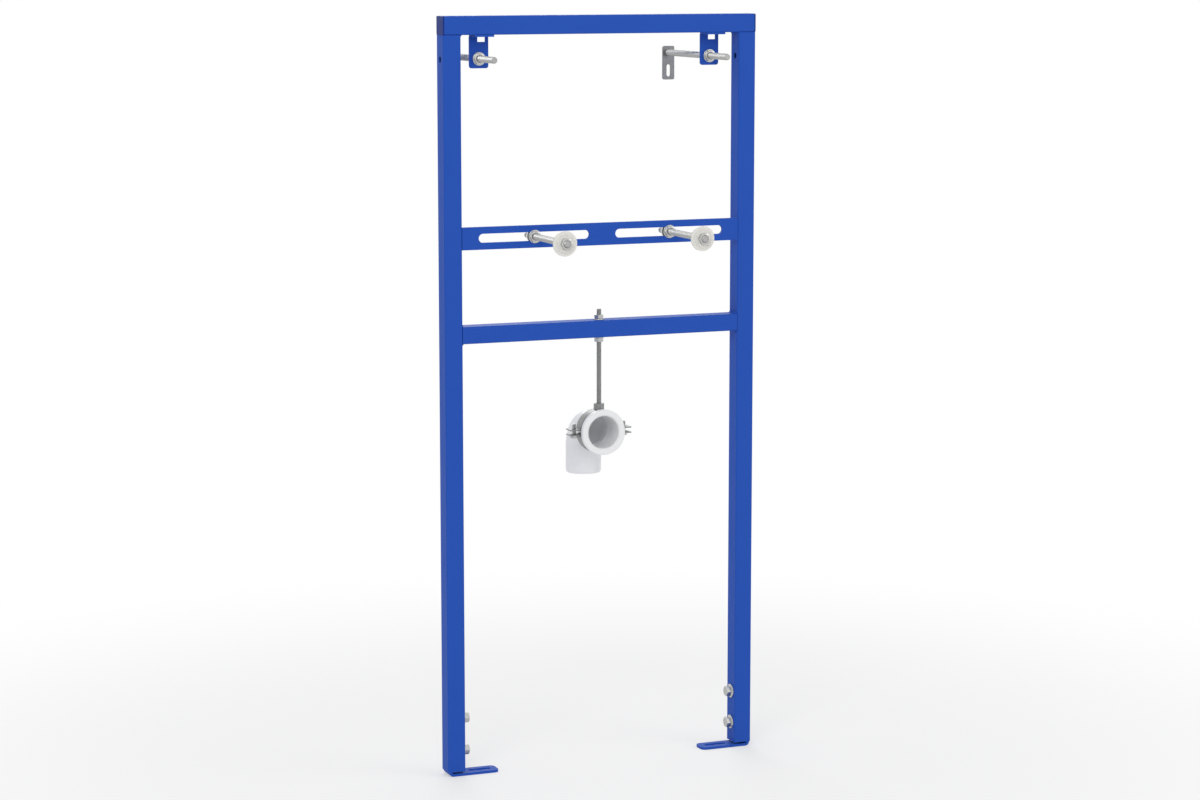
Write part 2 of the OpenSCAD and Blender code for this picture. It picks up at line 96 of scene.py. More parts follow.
def linear(hex_colour: str) -> tuple[float, float, float, float]:
    """Turns an sRGB hex colour to a linear one.

    Args:
        hex_colour: Six hex digits with a leading hash.

    Returns:
        Red, green, blue and alpha.
    """
    levels = [int(hex_colour[i : i + 2], 16) / 255 for i in (1, 3, 5)]
    red, green, blue = (
        v / 12.92 if v <= 0.04045 else ((v + 0.055) / 1.055) ** 2.4 for v in levels
    )
    return (red, green, blue, 1.0)


def add_node(
    tree: bpy.types.NodeTree,
    kind: str,
    settings: dict[str, Any] | None = None,
    links: dict[str | int, bpy.types.NodeSocket] | None = None,
    **attributes: Any,
) -> bpy.types.Node:
    """Adds one shader node.

    Args:
        tree: Tree that takes the node.
        kind: The node's type name, without its ShaderNode prefix.
        settings: Input name or number to value.
        links: Input name or number to the output that feeds it.
        **attributes: The node's own properties.

    Returns:
        The node.
    """
    node = tree.nodes.new("ShaderNode" + kind)
    for name, value in attributes.items():
        setattr(node, name, value)
    for key, value in (settings or {}).items():
        node.inputs[key].default_value = value
    for key, output in (links or {}).items():
        tree.links.new(output, node.inputs[key])
    return node


def per_metre(size_mm: float) -> float:
    """Gives the texture scale at which one feature has a size in millimetres."""
    return 1000.0 / size_mm


@dataclass(frozen=True)
class Finish:
    """A surface finish: what the material is and how its surface was made.

    Every finish has a base colour that drifts slightly from place to place, and a fine relief.
    """

    name: str
    slot: str
    base: str
    drift: str
    drift_mm: float
    roughness: float
    roughness_swing: float
    relief_mm: float
    relief_depth_mm: float
    metallic: float = 0.0
    ior: float = 1.5
    specular: float = 0.5

    def build(self) -> bpy.types.Material:
        """Makes the material.

        Returns:
            The material, ready to be given to a mesh.
        """
        material = bpy.data.materials.new(self.name)
        material.use_nodes = True
        tree = material.node_tree
        tree.nodes.clear()
        place = add_node(tree, "TexCoord").outputs["Object"]
        patches = add_node(
            tree,
            "TexNoise",
            {"Scale": per_metre(self.drift_mm), "Detail": 3.0, "Roughness": 0.55},
            {"Vector": place},
        ).outputs["Fac"]
        colour = self.colour(tree, place, patches)
        fine = add_node(
            tree,
            "TexNoise",
            {"Scale": per_metre(self.relief_mm), "Detail": 2.0, "Roughness": 0.6},
            {"Vector": place},
        ).outputs["Fac"]
        rough = add_node(
            tree,
            "MapRange",
            {
                "From Min": 0.3,
                "From Max": 0.7,
                "To Min": self.roughness - self.roughness_swing,
                "To Max": self.roughness + self.roughness_swing,
            },
            {"Value": self.wear(tree, place, patches)},
        ).outputs["Result"]
        relief = add_node(
            tree,
            "Bump",
            {"Strength": 1.0, "Distance": self.relief_depth_mm * MM},
            {"Height": fine},
        ).outputs["Normal"]
        shader = add_node(
            tree,
            "BsdfPrincipled",
            {"Metallic": self.metallic, "Specular IOR Level": self.specular},
            {"Base Color": colour, "Roughness": rough, "Normal": relief},
        )
        if self.metallic < 1.0:
            shader.inputs["IOR"].default_value = self.ior
        add_node(tree, "OutputMaterial", None, {"Surface": shader.outputs["BSDF"]})
        return material

    def colour(
        self,
        tree: bpy.types.NodeTree,
        place: bpy.types.NodeSocket,
        patches: bpy.types.NodeSocket,
    ) -> bpy.types.NodeSocket:
        """Mixes the base colour with its drift.

        Args:
            tree: The material's tree.
            place: Object coordinates.
            patches: Slow noise over the surface.

        Returns:
            The colour output.
        """
        mix = add_node(
            tree,
            "Mix",
            {6: linear(self.base), 7: linear(self.drift)},
            {0: patches},
            data_type="RGBA",
        )
        return mix.outputs[2]

    def wear(
        self,
        tree: bpy.types.NodeTree,
        place: bpy.types.NodeSocket,
        patches: bpy.types.NodeSocket,
    ) -> bpy.types.NodeSocket:
        """Gives the pattern that makes the surface duller or shinier."""
        return patches


@dataclass(frozen=True)
class SpangledFinish(Finish):
    """Hot dip galvanised sheet, whose zinc froze in flat crystals of slightly different greys."""

    crystal_mm: float = 5.0
    crystal: str = "#A2A3A4"
    crystal_share: float = 0.45

    def colour(
        self,
        tree: bpy.types.NodeTree,
        place: bpy.types.NodeSocket,
        patches: bpy.types.NodeSocket,
    ) -> bpy.types.NodeSocket:
        """Lays crystals of a second grey over the drifting base colour.

        Args:
            tree: The material's tree.
            place: Object coordinates.
            patches: Slow noise over the surface.

        Returns:
            The colour output.
        """
        plain = super().colour(tree, place, patches)
        cells = add_node(
            tree,
            "TexVoronoi",
            {"Scale": per_metre(self.crystal_mm)},
            {"Vector": place},
        ).outputs["Color"]
        shade = add_node(
            tree,
            "MapRange",
            {"To Max": self.crystal_share},
            {"Value": cells},
        ).outputs["Result"]
        mix = add_node(
            tree,
            "Mix",
            {7: linear(self.crystal)},
            {0: shade, 6: plain},
            data_type="RGBA",
        )
        return mix.outputs[2]


@dataclass(frozen=True)
class BrushedFinish(Finish):
    """Drawn or rolled metal with fine streaks along one axis."""

    streak_mm: float = 0.4
    streak_length_mm: float = 12.0

    def wear(
        self,
        tree: bpy.types.NodeTree,
        place: bpy.types.NodeSocket,
        patches: bpy.types.NodeSocket,
    ) -> bpy.types.NodeSocket:
        """Stretches noise along Z so that the roughness runs in streaks.

        Args:
            tree: The material's tree.
            place: Object coordinates.
            patches: Slow noise over the surface.

        Returns:
            The streak pattern.
        """
        squeeze = self.streak_mm / self.streak_length_mm
        stretched = add_node(
            tree,
            "Mapping",
            {"Scale": (1.0, 1.0, squeeze)},
            {"Vector": place},
        ).outputs["Vector"]
        return add_node(
            tree,
            "TexNoise",
            {"Scale": per_metre(self.streak_mm), "Detail": 2.0},
            {"Vector": stretched},
        ).outputs["Fac"]


# Polyester powder coat, sprayed and baked: an even satin blue with a faint orange peel.
POWDER_COAT = Finish(
    "powder_coat_blue_baked",
    "frame_paint",
    base="#2350B0",
    drift="#2854B4",
    drift_mm=90.0,
    roughness=0.52,
    roughness_swing=0.04,
    relief_mm=1.6,
    relief_depth_mm=0.02,
    specular=0.1,
)
# Polyethylene, injection moulded: a darker, duller navy than the coat round it.
CAP_PLASTIC = Finish(
    "polyethylene_navy_moulded",
    "cap_plastic",
    base="#102C78",
    drift="#13317F",
    drift_mm=20.0,
    roughness=0.52,
    roughness_swing=0.05,
    relief_mm=0.9,
    relief_depth_mm=0.03,
    specular=0.15,
)
# Rolled thread in zinc plated steel: mid grey, with a soft shine on the flanks.
THREAD_ZINC = BrushedFinish(
    "steel_thread_zinc_plated",
    "thread_zinc",
    base="#B2B2B0",
    drift="#A4A5A5",
    drift_mm=14.0,
    roughness=0.36,
    roughness_swing=0.07,
    relief_mm=0.7,
    relief_depth_mm=0.008,
    metallic=1.0,
)
# Cold forged and bright zinc plated: lighter and shinier than the threads, slightly warm.
FASTENER_ZINC = Finish(
    "steel_fastener_bright_zinc",
    "fastener_zinc",
    base="#C2C2BD",
    drift="#B4B6B8",
    drift_mm=9.0,
    roughness=0.27,
    roughness_swing=0.06,
    relief_mm=1.1,
    relief_depth_mm=0.01,
    metallic=1.0,
)
# Hot dip galvanised sheet: a dull grey broken up by zinc crystals about 5 mm across.
GALVANISED = SpangledFinish(
    "sheet_steel_galvanised",
    "galvanised_steel",
    base="#8E8F8F",
    drift="#838484",
    drift_mm=18.0,
    roughness=0.46,
    roughness_swing=0.08,
    relief_mm=1.4,
    relief_depth_mm=0.012,
    metallic=1.0,
)
# EPDM rubber, extruded: almost black, dull, with a fine grain.
LINING_RUBBER = Finish(
    "epdm_rubber_extruded",
    "rubber_black",
    base="#161616",
    drift="#1E1E1E",
    drift_mm=12.0,
    roughness=0.78,
    roughness_swing=0.06,
    relief_mm=0.8,
    relief_depth_mm=0.03,
    ior=1.52,
)
# Polyamide, injection moulded: milky off-white with a slight sheen.
BUSH_PLASTIC = Finish(
    "polyamide_natural_moulded",
    "bush_plastic",
    base="#DEDCD6",
    drift="#E4E3DE",
    drift_mm=10.0,
    roughness=0.42,
    roughness_swing=0.05,
    relief_mm=1.2,
    relief_depth_mm=0.012,
    ior=1.53,
)
# Polypropylene, injection moulded: cool white, smooth from the polished tool.
DRAIN_PLASTIC = Finish(
    "polypropylene_white_moulded",
    "drain_plastic",
    base="#E8E9EB",
    drift="#EEEEF0",
    drift_mm=30.0,
    roughness=0.34,
    roughness_swing=0.04,
    relief_mm=2.2,
    relief_depth_mm=0.012,
    ior=1.49,
)
ALL_FINISHES = (
    POWDER_COAT,
    CAP_PLASTIC,
    THREAD_ZINC,
    FASTENER_ZINC,
    GALVANISED,
    LINING_RUBBER,
    BUSH_PLASTIC,
    DRAIN_PLASTIC,
)
MATERIALS: dict[str, bpy.types.Material] = {}


# Mesh helpers, in millimetres about +Z


def circle_ring(radius: float, height: float, count: int) -> Ring:
    """Gives a level ring of points.

    Args:
        radius: Ring radius in millimetres.
        height: Height in millimetres.
        count: Number of points.

    Returns:
        The points.
    """
    return [
        Vector(
            (
                radius * math.cos(math.tau * i / count),
                radius * math.sin(math.tau * i / count),
                height,
            )
        )
        for i in range(count)
    ]


def hexagon_ring(across_flats: float, heights: Sequence[float]) -> Ring:
    """Gives a ring of points on a hexagon, one for each given height.

    Args:
        across_flats: Width of the hexagon in millimetres.
        heights: Height of each point; their number is a multiple of six.

    Returns:
        The points.
    """
    count = len(heights)
    ring = []
    for i, height in enumerate(heights):
        radius = hexagon_radius(across_flats, i, count)
        angle = math.tau * i / count
        ring.append(Vector((radius * math.cos(angle), radius * math.sin(angle), height)))
    return ring


def hexagon_radius(across_flats: float, index: int, count: int) -> float:
    """Gives the hexagon's radius at one of the evenly spaced directions."""
    sixth = math.tau / 6
    angle = (math.tau * index / count) % sixth - sixth / 2
    return across_flats / 2 / math.cos(angle)


def chamfer_heights(
    across_flats: float, face: float, height: float, count: int, way: float
) -> list[float]:
    """Gives where a turned chamfer meets the flats of a hexagon.

    Args:
        across_flats: Width of the hexagon in millimetres.
        face: Radius of the flat face inside the chamfer.
        height: Height of that face.
        count: Number of points round the hexagon.
        way: Minus one for a chamfer on top, one for a chamfer below.

    Returns:
        The height at each point.
    """
    slope = math.tan(math.radians(30))
    return [
        height + way * slope * (hexagon_radius(across_flats, i, count) - face)
        for i in range(count)
    ]


def skin(rings: Sequence[Ring], closed: bool = True) -> bmesh.types.BMesh:
    """Joins rings of equal length into a surface.

    Args:
        rings: The rings in order.
        closed: True to join the last ring to the first, False to close both ends with flat faces.

    Returns:
        The surface, with its points in millimetres.
    """
    bm = bmesh.new()
    rows = [[bm.verts.new(point) for point in ring] for ring in rings]
    count = len(rows[0])
    pairs = list(zip(rows, rows[1:])) + ([(rows[-1], rows[0])] if closed else [])
    for low, high in pairs:
        for i in range(count):
            j = (i + 1) % count
            bm.faces.new((low[i], low[j], high[j], high[i]))
    if not closed:
        bm.faces.new(list(reversed(rows[0])))
        bm.faces.new(rows[-1])
    bmesh.ops.remove_doubles(bm, verts=bm.verts, dist=1e-5)
    bmesh.ops.dissolve_degenerate(bm, dist=1e-5, edges=bm.edges)
    bmesh.ops.recalc_face_normals(bm, faces=bm.faces)
    return bm


def lathe(profile: Sequence[tuple[float, float]], count: int = 72) -> bmesh.types.BMesh:
    """Turns a closed profile about +Z.

    Args:
        profile: Radius and height of each point, in order round the section.
        count: Number of points round the axis.

    Returns:
        The turned ring, in millimetres.
    """
    return skin([circle_ring(radius, height, count) for radius, height in profile])


def washer(outer: float, bore: float, thickness: float) -> bmesh.types.BMesh:
    """Turns a stamped washer with one rolled and one sharp edge.

    Args:
        outer: Outside diameter.
        bore: Hole diameter.
        thickness: Thickness.

    Returns:
        The washer, standing on the origin.
    """
    edge = thickness * 0.22
    r_out, r_in = outer / 2, bore / 2
    return lathe(
        [
            (r_in, edge),
            (r_in + edge, 0.0),
            (r_out - edge, 0.0),
            (r_out, edge * 0.8),
            (r_out, thickness - edge * 1.6),
            (r_out - edge * 0.6, thickness - edge * 0.5),
            (r_out - edge * 1.8, thickness),
            (r_in + edge * 0.5, thickness),
            (r_in, thickness - edge * 0.5),
        ],
        64,
    )


def hex_nut(across_flats: float, bore: float, height: float) -> bmesh.types.BMesh:
    """Makes a hexagon nut with a turned chamfer on both faces and a countersunk thread.

    Args:
        across_flats: Width across the flats.
        bore: Thread diameter.
        height: Height.

    Returns:
        The nut, standing on the origin.
    """
    count = 96
    face = across_flats / 2 * 0.96
    sink = 0.6
    r_in = bore / 2
    top = chamfer_heights(across_flats, face, height, count, -1.0)
    foot = chamfer_heights(across_flats, face, 0.0, count, 1.0)
    return skin(
        [
            circle_ring(r_in, sink, count),
            circle_ring(r_in + sink, 0.0, count),
            circle_ring(face, 0.0, count),
            hexagon_ring(across_flats, foot),
            hexagon_ring(across_flats, top),
            circle_ring(face, height, count),
            circle_ring(r_in + sink, height, count),
            circle_ring(r_in, height - sink, count),
        ]
    )


def threaded_bar(diameter: float, length: float, pitch: float, count: int = 24) -> bmesh.types.BMesh:
    """Rolls a metric thread over the whole length of a bar and chamfers both ends.

    Args:
        diameter: Outside diameter of the thread.
        length: Length of the bar.
        pitch: Thread pitch.
        count: Points round the bar.

    Returns:
        The bar, from the origin up.
    """
    crest = diameter / 2
    root = crest - 0.6134 * pitch
    # Root flat, rising flank, crest flat and falling flank of one turn, as shares of the pitch.
    turn = ((0.0, root), (0.25, root), (0.5625, crest), (0.6875, crest))
    end = root - 0.15 * pitch
    turns = math.ceil(length / pitch) + 2
    rows = []
    bm = bmesh.new()
    for number in range(-1, turns):
        for share, radius in turn:
            points = [
                end_point(radius, (number + share + i / count) * pitch, length, end, i / count)
                for i in range(count)
            ]
            rows.append([bm.verts.new(point) for point in points])
    step = len(turn)
    for number in range(len(rows) - step - 1):
        for i in range(count):
            climb = step if i + 1 == count else 0
            j = (i + 1) % count
            low, high = rows[number], rows[number + 1]
            bm.faces.new((low[i], rows[number + climb][j], rows[number + 1 + climb][j], high[i]))
    bmesh.ops.remove_doubles(bm, verts=bm.verts, dist=1e-4)
    bmesh.ops.dissolve_degenerate(bm, dist=1e-4, edges=bm.edges)
    loose = [v for v in bm.verts if not v.link_faces]
    bmesh.ops.delete(bm, geom=loose, context="VERTS")
    bmesh.ops.holes_fill(bm, edges=bm.edges, sides=0)
    bmesh.ops.recalc_face_normals(bm, faces=bm.faces)
    return bm


def end_point(radius: float, height: float, length: float, end: float, share: float) -> Vector:
    """Places one thread point, cut back to the chamfer near either end of the bar."""
    level = min(max(height, 0.0), length)
    reach = min(level, length - level)
    limit = min(radius, end + reach)
    angle = math.tau * share
    return Vector((limit * math.cos(angle), limit * math.sin(angle), level))


def flange_bolt(
    flange: float, across_flats: float, height: float, shank: float, grip: float
) -> bmesh.types.BMesh:
    """Forges a hexagon bolt with a flange, its head standing on the origin and its shank below.

    Args:
        flange: Outside diameter of the flange.
        across_flats: Width across the flats.
        height: Height of the head with the flange.
        shank: Shank diameter.
        grip: Length of the shank.

    Returns:
        The bolt.
    """
    count = 96
    rim = flange / 2
    face = across_flats / 2 * 0.94
    cone_foot, cone_rise = 1.25, 0.5
    cone = [
        cone_foot + cone_rise * (rim - hexagon_radius(across_flats, i, count))
        for i in range(count)
    ]
    top = chamfer_heights(across_flats, face, height, count, -1.0)
    return skin(
        [
            circle_ring(0.01, -grip, count),
            circle_ring(shank / 2 - 1.0, -grip, count),
            circle_ring(shank / 2, 1.0 - grip, count),
            circle_ring(shank / 2, 0.0, count),
            circle_ring(rim - 0.5, 0.0, count),
            circle_ring(rim - 0.1, 0.25, count),
            circle_ring(rim, 0.6, count),
            circle_ring(rim - 0.15, cone_foot, count),
            hexagon_ring(across_flats, cone),
            hexagon_ring(across_flats, top),
            circle_ring(face, height, count),
            circle_ring(face * 0.62, height, count),
            circle_ring(face * 0.52, height - 0.45, count),
            circle_ring(0.01, height - 0.45, count),
        ],
        closed=False,
    )


def swept(
    centres: Sequence[Vector], ways: Sequence[Vector], radii: Sequence[float], count: int
) -> list[Ring]:
    """Lays rings square to a path that stays in the YZ plane.

    Args:
        centres: Centre of each ring.
        ways: Direction of the path at each ring.
        radii: Radius of each ring.
        count: Points in each ring.

    Returns:
        The rings.
    """
    rings = []
    across = Vector((1.0, 0.0, 0.0))
    for centre, way, radius in zip(centres, ways, radii):
        up = across.cross(way.normalized())
        rings.append(
            [
                centre
                + radius * math.cos(math.tau * i / count) * across
                + radius * math.sin(math.tau * i / count) * up
                for i in range(count)
            ]
        )
    return rings


def weld_bead(start: Vector, end: Vector, radius: float, ripple: float = 1.6) -> bmesh.types.BMesh:
    """Lays a rippled weld bead between two points.

    Args:
        start: First end of the bead.
        end: Other end of the bead.
        radius: Mean radius of the bead.
        ripple: Distance from one ripple to the next.

    Returns:
        The bead.
    """
    way = (end - start).normalized()
    side = way.orthogonal().normalized()
    up = way.cross(side)
    length = (end - start).length
    steps = max(8, round(length / ripple * 4))
    count = 14
    rings = []
    for k in range(steps + 1):
        along = length * k / steps
        taper = min(1.0, 0.35 + min(along, length - along) / (1.5 * radius))
        wave = 1.0 + 0.09 * math.sin(math.tau * along / ripple) + 0.04 * math.sin(2.3 * along)
        reach = radius * taper * wave
        rings.append(
            [
                start
                + way * along
                + reach * (math.cos(math.tau * i / count) * side + math.sin(math.tau * i / count) * up)
                for i in range(count)
            ]
        )
    return skin(rings, closed=False)


def softened(node: str, edge: float, least_angle: float = 28.0) -> bmesh.types.BMesh:
    """Copies a node's solid and rounds its sharp edges, as a press, saw or tool leaves them.

    Args:
        node: Name of the CAD node.
        edge: Width of the rounding in millimetres.
        least_angle: Smallest edge angle that is rounded, in degrees.

    Returns:
        The rounded solid, in metres.
    """
    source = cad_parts[node]
    bm = bmesh.new()
    bm.from_mesh(source.data)
    bm.transform(source.matrix_world)
    bmesh.ops.remove_doubles(bm, verts=bm.verts, dist=2e-6)
    bmesh.ops.dissolve_limit(
        bm, angle_limit=math.radians(0.4), verts=bm.verts, edges=bm.edges
    )
    least = math.radians(least_angle)
    sharp = [e for e in bm.edges if len(e.link_faces) == 2 and e.calc_face_angle() > least]
    bmesh.ops.bevel(
        bm,
        geom=sharp,
        offset=edge * MM,
        offset_type="OFFSET",
        segments=2,
        profile=0.5,
        affect="EDGES",
        clamp_overlap=True,
    )
    bmesh.ops.remove_doubles(bm, verts=bm.verts, dist=1e-6)
    bmesh.ops.recalc_face_normals(bm, faces=bm.faces)
    return bm


def add_piece(
    name: str,
    parts: Iterable[bmesh.types.BMesh],
    finish: Finish,
    replaces: Sequence[str],
    smooth_angle: float = 40.0,
) -> bpy.types.Object:
    """Args:
        name: Name of the piece.
        parts: Meshes in metres, which this function uses up.
        finish: Finish of the piece.
        replaces: CAD nodes that the piece stands for; none where it is an addition.
        smooth_angle: Largest edge angle that is shaded smooth, in degrees.

    Returns:
        The piece.
    """
    whole = bmesh.new()
    for part in parts:
        loose = bpy.data.meshes.new("loose")
        part.to_mesh(loose)
        part.free()
        whole.from_mesh(loose)
        bpy.data.meshes.remove(loose)
    limit = math.radians(smooth_angle)
    for face in whole.faces:
        face.smooth = True
    for edge in whole.edges:
        edge.smooth = len(edge.link_faces) == 2 and edge.calc_face_angle() < limit
    mesh = bpy.data.meshes.new(name)
    whole.to_mesh(mesh)
    whole.free()
    mesh.materials.append(MATERIALS[finish.name])
    piece = bpy.data.objects.new(name, mesh)
    bpy.context.scene.collection.objects.link(piece)
    weigh = piece.modifiers.new("flat_faces", "WEIGHTED_NORMAL")
    weigh.keep_sharp = True
    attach(piece, BODY)
    if replaces:
        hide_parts(*replaces)
    LOG.info("%s: %d faces, %s", name, len(mesh.polygons), finish.name)
    return piece


def placed(bm: bmesh.types.BMesh, axis: Axis, place: Sequence[float]) -> bmesh.types.BMesh:
    """Turns a mesh made in millimetres about +Z to its axis and place in the frame.

    Args:
        bm: Mesh to move, changed in place.
        axis: Axis that its +Z turns to.
        place: Where its origin goes, in millimetres.

    Returns:
        The same mesh, in metres.
    """
    bm.transform(axis.matrix(place) @ Matrix.Scale(MM, 4))
    return bm


# Sub-assemblies


@dataclass
class Layout:
    """Shared sizes of the frame in millimetres."""

    pitch: float = 478.0
    post_w: float = 28.0
    depth: float = 30.0
    beam_under: float = 1122.0

    @property
    def middle(self) -> float:
        """X of the frame's middle."""
        return self.pitch / 2

    @property
    def front(self) -> float:
        """Y of the frame's front face."""
        return -self.depth / 2

    @property
    def back(self) -> float:
        """Y of the frame's back face."""
        return self.depth / 2

    def post_x(self, side: Side) -> float:
        """Gives X of a post's axis."""
        return self.middle + side.sign * self.pitch / 2

    def inner_x(self, side: Side) -> float:
        """Gives X of a post's inner face."""
        return self.post_x(side) - side.sign * self.post_w / 2


LAYOUT = Layout()


@dataclass
class TubeFrame:
    """The welded frame: two posts, the beam with its caps, the slotted plate and the lower bar."""

    tube_edge: float = 0.35
    plate_edge: float = 0.7
    cap_edge: float = 0.6
    bead: float = 1.9
    plate_low: float = 804.0
    plate_high: float = 838.0
    plate_back: float = -10.0
    bar_low: float = 663.0
    bar_high: float = 689.0
    bead_inset: float = 2.5

    def build(self) -> None:
        """Builds and dresses the welded frame."""
        for node in ("left_post", "right_post", "top_beam", "lower_bar"):
            add_piece(f"{node}_coated", [softened(node, self.tube_edge)], POWDER_COAT, [node])
        add_piece(
            "slotted_plate_coated",
            [softened("slotted_plate", self.plate_edge)],
            POWDER_COAT,
            ["slotted_plate"],
        )
        for node in ("left_beam_cap", "right_beam_cap"):
            add_piece(f"{node}_moulded", [softened(node, self.cap_edge)], CAP_PLASTIC, [node])
        add_piece("frame_weld_beads", self.beads(), POWDER_COAT, [])

    def beads(self) -> list[bmesh.types.BMesh]:
        """Lays the welds in the inner corners, under the coat.

        Returns:
            The beads, in metres.
        """
        made = []
        for side in Side:
            x = LAYOUT.inner_x(side) - side.sign * 0.4
            low_y, high_y = LAYOUT.front + self.bead_inset, LAYOUT.back - self.bead_inset
            for z in (LAYOUT.beam_under - 0.4, self.bar_low - 0.4, self.bar_high + 0.4):
                made.append(weld_bead(Vector((x, low_y, z)), Vector((x, high_y, z)), self.bead))
            low = Vector((x, self.plate_back + 0.4, self.plate_low + self.bead_inset))
            high = Vector((x, self.plate_back + 0.4, self.plate_high - self.bead_inset))
            made.append(weld_bead(low, high, self.bead))
        for bm in made:
            bm.transform(Matrix.Scale(MM, 4))
        return made


@dataclass
class Foot:
    """Bent foot plate of one post with its two clamping bolts."""

    side: Side
    edge: float = 0.6
    bolt_heights: tuple[float, float] = (38.0, 88.0)
    flange: float = 21.8
    across_flats: float = 15.0
    head: float = 9.7
    shank: float = 10.0
    grip: float = 25.5

    def build(self) -> None:
        """Builds and dresses the foot and its bolts."""
        node = f"{self.side.value}_foot"
        add_piece(f"{node}_coated", [softened(node, self.edge)], POWDER_COAT, [node])
        bolts = f"{self.side.value}_foot_bolts"
        add_piece(f"{bolts}_plated", self.bolts(), FASTENER_ZINC, [bolts])

    def bolts(self) -> list[bmesh.types.BMesh]:
        """Forges the two bolts, heads towards the middle of the frame.

        Returns:
            The bolts, in metres.
        """
        made = []
        for height in self.bolt_heights:
            bolt = flange_bolt(self.flange, self.across_flats, self.head, self.shank, self.grip)
            if self.side is Side.RIGHT:
                bmesh.ops.rotate(
                    bolt, verts=bolt.verts, cent=(0, 0, 0), matrix=Matrix.Rotation(math.pi, 3, "X")
                )
            made.append(placed(bolt, Axis.X, (LAYOUT.inner_x(self.side), 0.0, height)))
        return made


@dataclass
class WallFixing:
    """Bracket under the beam, the threaded rod through it and the plate against the wall."""

    side: Side
    offset: float = 187.5
    height: float = 1086.0
    front_end: float = -55.0
    wall: float = 172.0
    bracket: float = 3.0
    thread: float = 10.0
    pitch: float = 1.5
    across_flats: float = 16.0
    washer_d: float = 20.0
    washer_t: float = 2.0
    thin: float = 5.0
    full: float = 8.0
    edge: float = 0.4

    def build(self) -> None:
        """Builds and dresses the fixing."""
        name = self.side.value
        x = LAYOUT.middle + self.side.sign * self.offset
        bracket, plate = f"{name}_wall_bracket", f"{name}_wall_plate"
        rod, washers, nuts = f"{name}_wall_rod", f"{name}_wall_rod_washers", f"{name}_wall_rod_nuts"
        add_piece(f"{bracket}_coated", [softened(bracket, self.edge)], POWDER_COAT, [bracket])
        add_piece(f"{plate}_galvanised", [softened(plate, self.edge)], GALVANISED, [plate])
        bar = threaded_bar(self.thread, self.wall - self.front_end, self.pitch)
        add_piece(
            f"{rod}_threaded",
            [placed(bar, Axis.Y, (x, self.front_end, self.height))],
            THREAD_ZINC,
            [rod],
            smooth_angle=25.0,
        )
        near = LAYOUT.back - self.bracket - self.washer_t
        rings = [
            placed(washer(self.washer_d, self.thread, self.washer_t), Axis.Y, (x, y, self.height))
            for y in (near, LAYOUT.back)
        ]
        add_piece(f"{washers}_plated", rings, FASTENER_ZINC, [washers])
        front_nut = hex_nut(self.across_flats, self.thread, self.thin)
        back_nut = hex_nut(self.across_flats, self.thread, self.full)
        add_piece(
            f"{nuts}_plated",
            [
                placed(front_nut, Axis.Y, (x, near - self.thin, self.height)),
                placed(back_nut, Axis.Y, (x, LAYOUT.back + self.washer_t, self.height)),
            ],
            FASTENER_ZINC,
            [nuts],
        )


